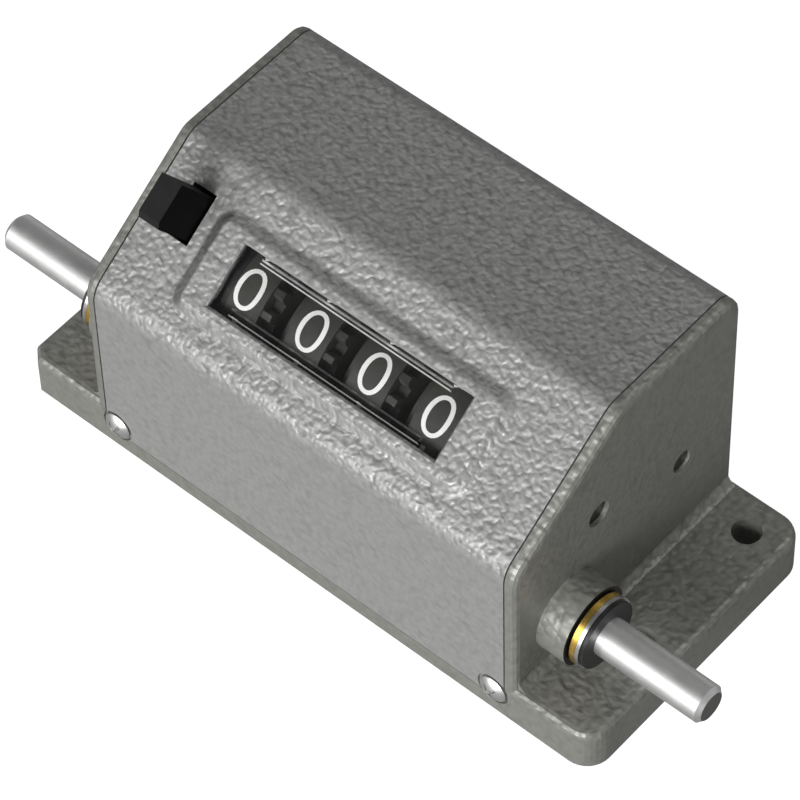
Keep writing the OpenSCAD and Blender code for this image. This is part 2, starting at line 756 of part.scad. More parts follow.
module pinion_bracket() {
    y = pinion_axis[0];
    color("#9b9d9a") difference() {
        union() {
            translate([bracket_left, y - bracket_half, floor_thickness])
                cube([bracket_right - bracket_left + bracket_plate, bracket_foot, bracket_plate]);
            for (x = [bracket_left, bracket_right]) {
                translate([x, y - bracket_half, floor_thickness])
                    cube([bracket_plate, 2 * bracket_half, pinion_axis[1] - floor_thickness]);
                bar(pinion_axis, x, bracket_plate, bracket_half);
            }
        }
        bar(pinion_axis, bracket_left - 1, bracket_right - bracket_left + 4,
            pinion_axle_d / 2 + tap_fit);
        for (x = bracket_screw_places())
            translate([x, bracket_screw_y(), 0]) cylinder(r = 1.4, h = 3 * floor_thickness);
    }
}

module bracket_screws() {
    color("#cfd1d2") for (x = bracket_screw_places())
        translate([x, bracket_screw_y(), floor_thickness + bracket_plate]) difference() {
            union() {
                cylinder(r = 2.3, h = 1.5);
                translate([0, 0, -bracket_plate - floor_thickness + 0.5])
                    cylinder(r = 1.25, h = bracket_plate + floor_thickness);
            }
            translate([-2.5, -0.3, 0.9]) cube([5, 0.6, 1]);
        }
}

module pinion_axle() {
    start = bracket_left - axle_stub;
    color("#8a8c8e") bar(pinion_axis, start, bracket_right + bracket_plate + axle_stub - start,
        pinion_axle_d / 2);
}

// Sleeves on the pinion axle keep the pinions in their places
module pinion_spacers() {
    gap = running_clearance;
    first = bracket_left + bracket_plate;
    starts = [first, for (p = [2, 1, 0]) units_x - (p + 1) * wheel_pitch + pinion_end + gap];
    ends = [for (p = [2, 1, 0]) units_x - (p + 1) * wheel_pitch + pinion_start - gap, bracket_right];
    color("#9a9c9e") for (i = [0 : 3])
        tube(pinion_axis, starts[i], ends[i] - starts[i], pinion_axle_d / 2 + 0.75,
            pinion_axle_d / 2 + tap_fit);
}

module reset_shaft() {
    color("#7d7f81") bar(reset_axis, 0.4 - wall_out, 2 * (wall_out - 0.4), reset_shaft_d / 2);
}

module reset_sleeve() {
    start = side_gap - wall_in;
    color("#a0a2a4") tube(reset_axis, start, sleeve_end - start, sleeve_r, sleeve_bore_r);
}

module zeroing_hammers() {
    low = hammer_reach - hammer_head;
    color("#b3b5b7") for (place = [0 : wheel_count - 1])
        translate([units_x - place * wheel_pitch + hammer_local_x - hammer_width / 2,
            reset_axis[0], reset_axis[1]]) difference() {
            across(0, hammer_width) {
                rotate(hammer_rest) polygon([[0, -hammer_root], [low, -hammer_root], [low, 0],
                    [hammer_reach + hammer_head, 0], [hammer_reach + hammer_head, -hammer_bar],
                    [0, -hammer_root - hammer_bar]]);
                circle(reset_hub_r);
            }
            bar([0, 0], -1, hammer_width + 2, sleeve_r + tap_fit);
        }
}

module reset_lever() {
    width = rod_width;
    color("#b3b5b7") translate([button_x - width / 2, reset_axis[0], reset_axis[1]]) difference() {
        across(0, width) {
            rotate(lever_rest) {
                translate([0, -lever_half]) square([lever_length - lever_half, 2 * lever_half]);
                translate([lever_length - lever_half, 0]) circle(lever_half);
            }
            circle(reset_hub_r - 0.6);
        }
        bar([0, 0], -1, width + 2, sleeve_r + tap_fit);
    }
}

module reset_button() {
    chamfer = 0.9;
    half = button_length / 2;
    shoulder = [button_width + 1.6, button_length + 1.6, shoulder_thickness];
    color("#161616") {
        on_slope(button_x, button_up, 0) {
            rotate([90, 0, 90]) translate([0, 0, -button_width / 2]) linear_extrude(button_width)
                polygon([[-half, -shoulder_depth - 0.1], [half, -shoulder_depth - 0.1],
                    [half, button_height], [chamfer - half, button_height],
                    [-half, button_height - chamfer]]);
            translate([-shoulder[0] / 2, -shoulder[1] / 2, -spring_top]) cube(shoulder);
        }
        on_slope(button_x, rod_up, 0) {
            translate([-rod_width / 2, -rod_length / 2, -nose_depth + 3])
                cube([rod_width, rod_length, nose_depth - 3 - spring_top + 0.1]);
            translate([-rod_width / 2, -nose_r, -nose_depth]) cube([rod_width, 2 * nose_r, 3.1]);
            translate([-rod_width / 2, 0, -nose_depth]) rotate([0, 90, 0])
                cylinder(r = nose_r, h = rod_width);
        }
    }
}

// A coil of round wire: rings of points swept along a helix
module button_spring() {
    turns = 4.5;
    sides = 8;
    per_turn = 14;
    mean_r = (spring_d - spring_wire) / 2;
    rise = spring_bottom - spring_top - spring_wire - 0.1;
    count = floor(turns * per_turn);
    points = [for (i = [0 : count], j = [0 : sides - 1])
        let (turn = i * 360 / per_turn, a = j * 360 / sides,
            r = mean_r + spring_wire / 2 * cos(a))
        [r * cos(turn), r * sin(turn), i * rise / count + spring_wire / 2 * sin(a)]];
    walls = [for (i = [0 : count - 1], j = [0 : sides - 1])
        let (next = (j + 1) % sides)
        [i * sides + j, (i + 1) * sides + j, (i + 1) * sides + next, i * sides + next]];
    first_cap = [for (j = [0 : sides - 1]) j];
    last_cap = [for (j = [sides - 1 : -1 : 0]) count * sides + j];
    color("#c9cbcc") on_slope(button_x, rod_up, -spring_bottom + spring_wire / 2 + 0.05)
        polyhedron(points, concat([first_cap], walls, [last_cap]), convexity = 6);
}

module button_guide() {
    hole = 0.25;
    x_from = -wall_in;
    x_to = button_x + rod_width / 2 + 2;
    tab = 7;
    color("#9b9d9a") difference() {
        on_slope(0, 0, -spring_bottom - guide_thickness) {
            translate([x_from, guide_from, 0]) cube([x_to - x_from, guide_to - guide_from, guide_thickness]);
            translate([x_from, guide_from, -tab]) cube([guide_thickness, guide_to - guide_from, tab + 0.1]);
        }
        on_slope(button_x, rod_up, -spring_bottom - 2 * guide_thickness)
            translate([-rod_width / 2 - hole, -rod_length / 2 - hole, 0])
                cube([rod_width + 2 * hole, rod_length + 2 * hole, 3 * guide_thickness]);
        guide_screw_place() translate([0, 0, -guide_thickness - 1]) cylinder(r = 1.15, h = 6);
    }
}

// The guide is screwed to the left end wall: local Z points into that wall
module guide_screw_place() {
    place = slope_point((guide_from + guide_to) / 2, -spring_bottom - guide_thickness - 4);
    translate([-wall_in, place[0], place[1]]) rotate([0, -90, 0]) children();
}

module guide_screw() {
    color("#cfd1d2") guide_screw_place() translate([0, 0, -guide_thickness]) difference() {
        union() {
            cylinder(r = 1, h = guide_thickness + step_thickness);
            translate([0, 0, -1.2]) cylinder(r = 1.9, h = 1.2);
        }
        translate([-2, -0.25, -1.3]) cube([4, 0.5, 0.6]);
    }
}

base_casting();
cover();
window_lens();
cover_screws();
bearing_bushes();
bush_gaskets();
drive_shaft();
thrust_washers();
outer_collars();
inner_collars();
drive_gear();
gear_pin();
wheel_axle();
axle_spacers();
units_wheel();
tens_wheel();
hundreds_wheel();
thousands_wheel();
driven_gear();
clutch_washer();
units_pinion();
tens_pinion();
hundreds_pinion();
pinion_axle();
pinion_spacers();
pinion_bracket();
bracket_screws();
reset_shaft();
reset_sleeve();
zeroing_hammers();
reset_lever();
reset_button();
button_spring();
button_guide();
guide_screw();
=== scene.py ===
# %% [markdown]
# # A mechanical counter, dressed for its portrait
#
# The solids of the counter come ready from the imported frame: casting, cover, wheels, shaft and
# button. This lesson gives them light, a camera and finishes. It also adds what the solids leave
# out: small fillets on the casting, a coil for the return spring, and the white figures that are
# printed on the wheels. Everything is in metres, X along the shaft and Z up.

# %% Load the frame
import math

import bpy
from mathutils import Matrix, Vector


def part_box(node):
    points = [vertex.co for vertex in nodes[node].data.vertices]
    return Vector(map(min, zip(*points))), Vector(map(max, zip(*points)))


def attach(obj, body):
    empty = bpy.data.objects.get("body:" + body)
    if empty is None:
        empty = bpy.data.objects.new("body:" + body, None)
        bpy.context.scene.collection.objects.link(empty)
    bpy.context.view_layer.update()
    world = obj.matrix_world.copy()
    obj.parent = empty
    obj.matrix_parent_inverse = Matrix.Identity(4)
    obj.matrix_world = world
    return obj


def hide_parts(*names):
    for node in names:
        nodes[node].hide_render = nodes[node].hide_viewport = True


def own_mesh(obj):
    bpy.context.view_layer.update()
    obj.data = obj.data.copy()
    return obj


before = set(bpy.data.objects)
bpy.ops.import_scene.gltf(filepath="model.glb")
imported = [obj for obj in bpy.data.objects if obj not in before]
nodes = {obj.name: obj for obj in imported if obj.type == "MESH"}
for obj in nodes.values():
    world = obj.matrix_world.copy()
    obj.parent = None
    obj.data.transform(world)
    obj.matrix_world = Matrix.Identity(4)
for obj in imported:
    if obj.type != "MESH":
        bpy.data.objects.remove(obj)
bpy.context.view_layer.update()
MM = 0.001

# %% [markdown]
# ## The camera
#
# The photograph is taken from the front right and well above, with a long lens. Four numbers place
# the camera (azimuth, elevation, roll and distance), one point says where it looks, and the focal
# length sets how large the counter is in the frame. A Track To constraint could aim the camera,
# but it leaves out the roll, so the three axes of the camera are worked out for its matrix.

# %% Place the camera
AZIMUTH, ELEVATION, ROLL = (math.radians(angle) for angle in (42.354, 52.747, -1.930))
CAMERA_DISTANCE = 665.773 * MM
CAMERA_TARGET = Vector((-1.941, 0.0, 14.975)) * MM
NEAREST_SEEN = 50 * MM
SENSOR_WIDTH = 36.0
FOCAL_PIXELS, PHOTO_PIXELS = 4673.98, 800
FOCAL_LENGTH = FOCAL_PIXELS * SENSOR_WIDTH / PHOTO_PIXELS

back = Vector((math.sin(AZIMUTH) * math.cos(ELEVATION),
               -math.cos(AZIMUTH) * math.cos(ELEVATION),
               math.sin(ELEVATION)))
right = Vector((math.cos(AZIMUTH), math.sin(AZIMUTH), 0.0))
up = back.cross(right)
rolled_right = right * math.cos(ROLL) + up * math.sin(ROLL)
rolled_up = up * math.cos(ROLL) - right * math.sin(ROLL)

lens = bpy.data.cameras.new("portrait_lens")
lens.sensor_width = SENSOR_WIDTH
lens.lens = FOCAL_LENGTH
lens.clip_start = NEAREST_SEEN
camera = bpy.data.objects.new("portrait_camera", lens)
turn = Matrix((rolled_right, rolled_up, back)).transposed().to_4x4()
camera.matrix_world = Matrix.Translation(CAMERA_TARGET + back * CAMERA_DISTANCE) @ turn
bpy.context.scene.collection.objects.link(camera)
bpy.context.scene.camera = camera
print("camera at", [round(c, 4) for c in camera.location], "lens", round(FOCAL_LENGTH, 1), "mm")

# %% [markdown]
# ## Light and floor
#
# The photograph has soft light from the front and a little above: the front and the sloping face
# are bright, the top and the right end are dark. A small lamp and a wide one, both in front, give
# nearly all of it. A weak one behind on the right draws the light lines along the fillets and
# lifts the right flange. The world adds a weak, even light.
#
# To the camera and through glass the world and the floor look white, which Light Path tells apart
# from the light that falls on the counter. Metal and paint mirror a dimmer studio, bright near the
# horizon and darker overhead, as in the photograph, where only a band of the shaft shines.

# %% Helpers for node trees
def new_node(tree, kind, place, **settings):
    """Adds a node and sets its options by name."""
    node = tree.nodes.new(kind)
    node.location = place
    for name, value in settings.items():
        setattr(node, name, value)
    return node


def connect(tree, value, socket):
    """Links an output to a socket, or gives the socket a plain value."""
    if isinstance(value, bpy.types.NodeSocket):
        tree.links.new(value, socket)
    else:
        socket.default_value = value


def fill(tree, node, **values):
    """Sets or links input sockets by name, with _ for a space."""
    for name, value in values.items():
        connect(tree, value, node.inputs[name.replace("_", " ")])


print("helpers for node trees ready")

# %% Nodes that calculate
def math_node(tree, operation, place, *values, clamp=False):
    """The result of a Math node."""
    node = new_node(tree, "ShaderNodeMath", place, operation=operation, use_clamp=clamp)
    for value, socket in zip(values, node.inputs):
        connect(tree, value, socket)
    return node.outputs[0]


def map_range(tree, source, place, start, stop, low, high, **settings):
    """Turns values from start to stop into values from low to high."""
    node = new_node(tree, "ShaderNodeMapRange", place, **settings)
    fill(tree, node, Value=source, From_Min=start, From_Max=stop, To_Min=low, To_Max=high)
    return node.outputs[0]


def coordinate(tree, kind, place):
    """Object is the point on the piece in metres, which bakes with it; Normal is its facing."""
    return new_node(tree, "ShaderNodeTexCoord", place).outputs[kind]


def parts_of(tree, vector, place):
    """The X, Y and Z of a vector."""
    node = new_node(tree, "ShaderNodeSeparateXYZ", place)
    connect(tree, vector, node.inputs[0])
    return node.outputs


def mix_shaders(tree, share, place, first, second):
    """A mix of two shaders with that share of the second one."""
    node = new_node(tree, "ShaderNodeMixShader", place)
    for value, socket in zip((share, first, second), node.inputs):
        connect(tree, value, socket)
    return node.outputs[0]


print("helpers for calculating nodes ready")

# %% Tell seen light from falling light
def seen_directly(tree, mirrored):
    """1 for the camera and through glass, mirrored for reflections, 0 for the light that falls."""
    path = new_node(tree, "ShaderNodeLightPath", (-1100, 300)).outputs
    bounces = math_node(tree, "ADD", (-900, 60), path["Diffuse Depth"], path["Glossy Depth"])
    unbounced = math_node(tree, "LESS_THAN", (-800, 60), bounces, 0.5)
    through = math_node(tree, "MULTIPLY", (-700, 60), path["Is Transmission Ray"], unbounced)
    dimmed = math_node(tree, "MULTIPLY", (-700, 260), path["Is Glossy Ray"], mirrored)
    first = math_node(tree, "MAXIMUM", (-500, 300), path["Is Camera Ray"], dimmed)
    return math_node(tree, "MAXIMUM", (-320, 300), first, through)


print("helper for seen light ready")

# %% World
WHITE = (1, 1, 1, 1)
SKY_LIGHT = 0.04
# Heights and depths of a direction, from -1 to 1, and the mirrored brightness between them
HORIZON_LOW, HORIZON_HIGH = 0.05, 0.45
FRONT, REAR = -0.6, 0.5
FRONT_OVERHEAD, REAR_OVERHEAD = 0.07, 0.14

bpy.context.scene.view_settings.view_transform = "Standard"
world = bpy.data.worlds.new("studio")
bpy.context.scene.world = world
world.use_nodes = True
sky = world.node_tree
sky.nodes.clear()
shown, falling = (new_node(sky, "ShaderNodeBackground", (0, y)) for y in (120, -60))
fill(sky, shown, Color=WHITE, Strength=1.0)
fill(sky, falling, Color=WHITE, Strength=SKY_LIGHT)
looking = parts_of(sky, coordinate(sky, "Generated", (-1500, 0)), (-1300, 0))
horizon = map_range(sky, looking["Z"], (-1100, 0), HORIZON_LOW, HORIZON_HIGH, 1.0, 0.0,
                    interpolation_type="SMOOTHSTEP")
overhead = map_range(sky, looking["Y"], (-1100, -260), FRONT, REAR,
                     FRONT_OVERHEAD, REAR_OVERHEAD)
mirrored_sky = math_node(sky, "MAXIMUM", (-900, -100), horizon, overhead)
sky_out = new_node(sky, "ShaderNodeOutputWorld", (420, 0))
fill(sky, sky_out, Surface=mix_shaders(sky, seen_directly(sky, mirrored_sky), (220, 0),
                                       falling.outputs[0], shown.outputs[0]))
print("world", world.name, "with", len(sky.nodes), "nodes")

# %% Lamps
# Name, direction from the counter, distance, width, height and watts
LAMPS = (
    ("front_lamp", (0.16, -0.91, 0.31), 3.0, 1.1, 1.1, 59.0),
    ("wide_lamp", (0.06, -0.91, 0.36), 2.4, 3.6, 1.6, 49.5),
    ("back_lamp", (0.35, 0.45, 0.82), 2.5, 0.8, 0.8, 10.5),
)


def area_lamp(name, direction, distance, width, height, watts):
    """A lamp at that distance in that direction from the counter, facing it."""
    lamp = bpy.data.lights.new(name, "AREA")
    lamp.shape = "RECTANGLE"
    lamp.size, lamp.size_y = width, height
    lamp.energy = watts
    holder = bpy.data.objects.new(name, lamp)
    way = Vector(direction).normalized()
    holder.location = CAMERA_TARGET + way * distance
    holder.rotation_euler = way.to_track_quat("Z", "Y").to_euler()
    bpy.context.scene.collection.objects.link(holder)


for lamp in LAMPS:
    area_lamp(*lamp)

# %% Selection and materials
def clear_selection():
    """Leaves nothing selected, because an operator acts on all that is."""
    if bpy.context.object and bpy.context.object.mode != "OBJECT":
        bpy.ops.object.mode_set(mode="OBJECT")
    bpy.ops.object.select_all(action="DESELECT")


def new_material(name):
    """A material with an empty node tree and an output."""
    material = bpy.data.materials.new(name)
    material.use_nodes = True
    material.node_tree.nodes.clear()
    out = new_node(material.node_tree, "ShaderNodeOutputMaterial", (600, 0))
    return material, material.node_tree, out


def principled(tree, place, **values):
    """The surface shader, with its plain values set on its own sockets."""
    node = new_node(tree, "ShaderNodeBsdfPrincipled", place)
    fill(tree, node, **values)
    return node.outputs[0]


def dress(piece, material):
    """Gives the whole piece one material."""
    piece.data.materials.clear()
    piece.data.materials.append(material)


print("helpers for pieces ready")

# %% Floor
FLOOR_SIZE, FLOOR_DEPTH = 6.0, 0.2 * MM
FLOOR_GREY, FLOOR_GLOW, FLOOR_MIRRORED = (0.4, 0.4, 0.4, 1), 0.95, 0.06
clear_selection()
bpy.ops.mesh.primitive_plane_add(size=FLOOR_SIZE, location=(0, 0, -FLOOR_DEPTH))
floor = bpy.context.object
floor.name = "studio_floor"
floor_finish, tree, out = new_material("pale_floor")
paper = principled(tree, (0, 0), Base_Color=FLOOR_GREY, Roughness=0.9, Specular_IOR_Level=0.1)
glow, dark = (new_node(tree, "ShaderNodeEmission", (0, y)) for y in (300, 460))
fill(tree, glow, Color=WHITE, Strength=FLOOR_GLOW)
fill(tree, dark, Strength=0.0)
shining = mix_shaders(tree, seen_directly(tree, FLOOR_MIRRORED), (200, 300),
                      dark.outputs[0], glow.outputs[0])
total = new_node(tree, "ShaderNodeAddShader", (400, 0))
tree.links.new(paper, total.inputs[0])
tree.links.new(shining, total.inputs[1])
fill(tree, out, Surface=total.outputs[0])
dress(floor, floor_finish)
print("floor", FLOOR_SIZE, "m square")

# %% [markdown]
# ## Hammertone paint
#
# The casting and the cover are sprayed with hammer finish: a thick grey enamel that draws itself
# into small shiny domes about a millimetre across, with finer ones between. Domes this low would
# take millions of faces to model, so they are a pattern with a bump. A Voronoi pattern gives the
# domes, a noise bends it so that no two are alike, and the same height makes the hollows between
# them darker. On upright faces the enamel has run smoother, so the relief is weaker there. The
# group is built once and used by every painted piece.

# %% Patterns and groups
def new_group(name, numbers, outputs):
    """A shader node group with number inputs (name and usual value) and number outputs."""
    group = bpy.data.node_groups.new(name, "ShaderNodeTree")
    for socket, value in numbers.items():
        made = group.interface.new_socket(socket, in_out="INPUT", socket_type="NodeSocketFloat")
        made.default_value = value
    for socket in outputs:
        group.interface.new_socket(socket, in_out="OUTPUT", socket_type="NodeSocketFloat")
    start = new_node(group, "NodeGroupInput", (-1200, 0)).outputs
    end = new_node(group, "NodeGroupOutput", (900, 0))
    return group, start, end


def noise(tree, vector, scale, place, **values):
    """The outputs of a noise pattern."""
    node = new_node(tree, "ShaderNodeTexNoise", place)
    fill(tree, node, Vector=vector, Scale=scale, **values)
    return node.outputs


def ramp(tree, source, place, start, stop):
    """Black up to start, then rising to white at stop."""
    node = new_node(tree, "ShaderNodeValToRGB", place)
    for element, position in zip(node.color_ramp.elements, (start, stop)):
        element.position = position
    tree.links.new(source, node.inputs[0])
    return node.outputs[0]


def vector_math(tree, operation, place, first, second):
    """The result of a Vector Math node, a number for a dot product and a vector otherwise."""
    node = new_node(tree, "ShaderNodeVectorMath", place, operation=operation)
    connect(tree, first, node.inputs[0])
    connect(tree, second, node.inputs["Scale" if operation == "SCALE" else 1])
    return node.outputs["Value" if operation == "DOT_PRODUCT" else "Vector"]


print("helpers for groups ready")

# %% Hammertone group
COVER_DOMES, CASTING_DOMES, UNEVENNESS = 1.0 * MM, 1.2 * MM, 0.45
DOME_TOP, FINE_PER_DOME, FINE_SHARE = 0.25, 1.5, 0.7
UPRIGHT_SHARE, FULL_RELIEF_FROM = 0.45, 0.4
DARK_BELOW, LIGHT_ABOVE = 0.1, 0.85

hammertone, start, end = new_group(
    "Hammertone", {"Dome Size": CASTING_DOMES, "Unevenness": UNEVENNESS}, ("Height", "Shade"))
scale = math_node(hammertone, "DIVIDE", (-1000, 200), 1.0, start["Dome Size"])
place = coordinate(hammertone, "Object", (-1400, -200))
drift = noise(hammertone, place, scale, (-800, -200), Detail=1.0, Roughness=0.5)["Color"]
amount = math_node(hammertone, "MULTIPLY", (-800, -400), start["Dome Size"], start["Unevenness"])
bend = vector_math(hammertone, "SCALE", (-600, -200), drift, amount)
bent = vector_math(hammertone, "ADD", (-420, -200), place, bend)
domes = new_node(hammertone, "ShaderNodeTexVoronoi", (-200, 200), feature="SMOOTH_F1")
fill(hammertone, domes, Vector=bent, Scale=scale, Smoothness=0.75, Randomness=1.0)
squared = math_node(hammertone, "POWER", (-60, 260), domes.outputs["Distance"], 2.0)
rounded = math_node(hammertone, "SUBTRACT", (0, 200), DOME_TOP, squared)
fine_scale = math_node(hammertone, "MULTIPLY", (-400, 60), scale, FINE_PER_DOME)
fine = noise(hammertone, bent, fine_scale, (-200, -100), Detail=0.0)["Fac"]
centred = math_node(hammertone, "SUBTRACT", (0, -100), fine, 0.5)
relief = math_node(hammertone, "MULTIPLY_ADD", (200, 100), centred, FINE_SHARE, rounded)
upward = parts_of(hammertone, coordinate(hammertone, "Normal", (-200, -300)), (0, -300))["Z"]
level = map_range(hammertone, upward, (200, -300), 0.0, FULL_RELIEF_FROM, UPRIGHT_SHARE, 1.0)
height = math_node(hammertone, "MULTIPLY", (400, 100), relief, level)
lifted = math_node(hammertone, "ADD", (400, -100), height, 0.5)
shade = ramp(hammertone, lifted, (600, -100), DARK_BELOW, LIGHT_ABOVE)
fill(hammertone, end, Height=height, Shade=shade)
print("group", hammertone.name)

# %% Colour, bump and facing
COLOUR_A, COLOUR_B, COLOUR_OUT = 6, 7, 2
RIGHT = Vector((1.0, 0.0, 0.0))
FACING_LIMIT = 0.85


def bump(tree, height, place, depth):
    """A bump of that depth in metres; its normal goes to the shader."""
    node = new_node(tree, "ShaderNodeBump", place)
    fill(tree, node, Height=height, Strength=1.0, Distance=depth)
    return node.outputs[0]


def mix_colour(tree, share, place, first, second):
    """A mix with that share of the second colour; a plain colour is (red, green, blue)."""
    node = new_node(tree, "ShaderNodeMix", place, data_type="RGBA")
    connect(tree, share, node.inputs[0])
    for colour, socket in ((first, COLOUR_A), (second, COLOUR_B)):
        connect(tree, (*colour, 1) if isinstance(colour, tuple) else colour, node.inputs[socket])
    return node.outputs[COLOUR_OUT]


def turned_to(tree, way, place):
    """1 on the faces of the piece that look that way, 0 on the others."""
    x, y = place
    along = vector_math(tree, "DOT_PRODUCT", place, coordinate(tree, "Normal", (x - 200, y)), way)
    return math_node(tree, "GREATER_THAN", (x + 200, y), along, FACING_LIMIT)


def ends_of(tree, place):
    """1 on the faces that look left or right, 0 on the others."""
    x, y = place
    return math_node(tree, "MAXIMUM", (x + 400, y), turned_to(tree, RIGHT, place),
                     turned_to(tree, -RIGHT, (x, y - 200)))


print("helpers for finishes ready")

# %% [markdown]
# The painted finish mixes a hollow colour and a crown colour by the shade of the group. Two places
# get painted shade: the end faces of the shaft bosses, a thin ring round each gasket, are painted
# dark as the shade beside the gaskets, and the left slope of the window pad is painted darker than
# the lamps make it. Masks by place and by facing pick these out, so that each piece keeps a single
# material.

# %% Painted finish
PAINT_ROUGHNESS, PAINT_METALLIC = 0.43, 0.3
LEANING_MUCH, LEANING_LITTLE = -0.4, -0.1
BOSS_END, BOSS_END_SPAN = 44.3 * MM, 0.2 * MM
BOSS_END_SHADE, BLACK = (0.012, 0.012, 0.011), (0.0, 0.0, 0.0)


def use_group(tree, group, place, **values):
    """Places a node group, sets its inputs and gives its outputs."""
    node = new_node(tree, "ShaderNodeGroup", place, node_tree=group)
    fill(tree, node, **values)
    return node.outputs


def painted(name, hollow, crown, dome_size, depth, painted_shade_end=None, left_shade=None):
    """Hammer finish from a hollow colour to a crown colour.

    Painted shade: end faces at a given boss end go dark; faces leaning left keep left_shade of the
    colour.
    """
    material, tree, out = new_material(name)
    tone = use_group(tree, hammertone, (-400, 0), Dome_Size=dome_size, Unevenness=UNEVENNESS)
    colour = mix_colour(tree, tone["Shade"], (-100, 100), hollow, crown)
    # Painted shade on the faces that lean left, such as the left slope of the window pad
    if left_shade:
        facing = parts_of(tree, coordinate(tree, "Normal", (-1100, 800)), (-900, 800))["X"]
        painted_shade_kept = map_range(tree, facing, (-700, 800), LEANING_MUCH, LEANING_LITTLE, left_shade, 1.0)
        colour = mix_colour(tree, painted_shade_kept, (0, 300), BLACK, colour)
    # Painted shade on the end faces of the shaft bosses, the shadow beside the gaskets
    if painted_shade_end:
        place = parts_of(tree, coordinate(tree, "Object", (-1100, 500)), (-900, 500))["X"]
        reach = math_node(tree, "ABSOLUTE", (-700, 500), place)
        there = math_node(tree, "COMPARE", (-500, 500), reach, painted_shade_end, BOSS_END_SPAN)
        painted_shade_mask = math_node(tree, "MULTIPLY", (-300, 500), there, ends_of(tree, (-1100, 800)))
        colour = mix_colour(tree, painted_shade_mask, (100, 100), colour, BOSS_END_SHADE)
    fill(tree, out, Surface=principled(
        tree, (300, 0), Base_Color=colour, Roughness=PAINT_ROUGHNESS, Metallic=PAINT_METALLIC,
        Normal=bump(tree, tone["Height"], (0, -200), depth)))
    return material


print("painted finish ready")

# %% Paint the cover and the casting
# Painted shade: the cover darkens its left-leaning faces, the casting its boss end faces
cover_paint = painted("cover_paint", (0.235, 0.235, 0.23), (0.37, 0.37, 0.365),
                      COVER_DOMES, depth=0.2 * MM, left_shade=0.5)
casting_paint = painted("casting_paint", (0.181, 0.182, 0.165), (0.284, 0.285, 0.261),
                        CASTING_DOMES, depth=0.17 * MM, painted_shade_end=BOSS_END)
dress(nodes["cover"], cover_paint)
dress(nodes["base_casting"], casting_paint)
print("painted: cover, base_casting")

# %% [markdown]
# ## Fillets of the casting
#
# Where the end walls meet the flanges the casting has a small hollow fillet, a light line in the
# photograph. It could be cut into the solid of the casting, but the solids are left as they are,
# so two strips are laid into the corners. A long block has its outer upper edge cut back by a
# bevel with a hollow profile, and the same is done in mirror image at the other end. Both strips
# are sunk a little into the casting.

# %% Model one fillet
WALL_OUT, FLANGE_TOP = 39.5 * MM, 7.5 * MM
FILLET, SUNK, FILLET_LENGTH = 1.4 * MM, 0.05 * MM, 46.4 * MM
FILLET_STEPS, HOLLOW_PROFILE = 8, 0.15


def select_only(*pieces):
    """Selects just these pieces and makes the first one active."""
    clear_selection()
    for piece in pieces:
        piece.select_set(True)
    bpy.context.view_layer.objects.active = pieces[0]


def fillet_strip(side):
    """The fillet along one end wall: side is 1 for the right end, -1 for the left."""
    clear_selection()
    middle = (side * (WALL_OUT - SUNK + FILLET / 2), 0.0, FLANGE_TOP - SUNK + FILLET / 2)
    bpy.ops.mesh.primitive_cube_add(size=1, location=middle)
    strip = bpy.context.object
    strip.scale = (FILLET, FILLET_LENGTH, FILLET)
    bpy.ops.object.transform_apply(location=True, rotation=True, scale=True)
    bpy.ops.object.mode_set(mode="EDIT")
    bpy.ops.mesh.select_mode(type="EDGE")
    bpy.ops.mesh.select_all(action="DESELECT")
    bpy.ops.object.mode_set(mode="OBJECT")
    corners = strip.data.vertices
    for edge in strip.data.edges:
        edge.select = all(side * corners[i].co.x > WALL_OUT + FILLET / 2
                          and corners[i].co.z > FLANGE_TOP + FILLET / 2 for i in edge.vertices)
    bpy.ops.object.mode_set(mode="EDIT")
    bpy.ops.mesh.bevel(offset=FILLET - 2 * SUNK, segments=FILLET_STEPS, profile=HOLLOW_PROFILE)
    bpy.ops.object.mode_set(mode="OBJECT")
    return strip


print("fillet", round(FILLET / MM, 2), "mm high")

# %% Casting fillets
FILLET_SMOOTH = math.radians(30)
select_only(*[fillet_strip(side) for side in (1, -1)])
bpy.ops.object.join()
fillets = bpy.context.object
fillets.name = "casting_fillets"
select_only(fillets)
bpy.ops.object.shade_smooth_by_angle(angle=FILLET_SMOOTH)
dress(fillets, casting_paint)
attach(fillets, "housing")
print(fillets.name, len(fillets.data.polygons), "faces")

# %% [markdown]
# ## Metals
#
# The shaft is ground steel: fine rings from the wheel run round it. The bushes are turned brass,
# the thrust washers bright steel, the collars and screws are plated or blackened. Lines this fine
# are left to the bump. One group gives them, with blotches of wear, and each metal sets its own
# colour, spacing and depth. The cut ends of the shaft and the axles get a painted shade, darker
# than their sides.

# %% Fine lines group
FINE_GRIND, COARSE_GRIND, LINES_ALONG = 9000.0, 3000.0, 40.0
WEAR_SCALE, WEAR_FROM, WEAR_FULL = 420.0, 0.35, 0.7

fine_lines, start, end = new_group(
    "Fine Lines", {"Lines per Metre": FINE_GRIND, "Along": LINES_ALONG}, ("Height", "Wear"))
stretch = new_node(fine_lines, "ShaderNodeCombineXYZ", (-1000, 100))
fill(fine_lines, stretch, X=start["Lines per Metre"], Y=start["Along"], Z=start["Along"])
place = coordinate(fine_lines, "Object", (-1400, -200))
stretched = vector_math(fine_lines, "MULTIPLY", (-800, 0), place, stretch.outputs[0])
grind = noise(fine_lines, stretched, 1.0, (-600, 0), Detail=3.0, Roughness=0.6)["Fac"]
rub = noise(fine_lines, place, WEAR_SCALE, (-600, -300), Detail=4.0, Roughness=0.6)["Fac"]
wear = ramp(fine_lines, rub, (-300, -300), WEAR_FROM, WEAR_FULL)
fill(fine_lines, end, Height=grind, Wear=wear)
print("group", fine_lines.name)

# %% Metal finish
LINE_DEPTH, SHAFT_LINE_DEPTH, WORN_ROUGHER = 0.004 * MM, 0.02 * MM, 0.1


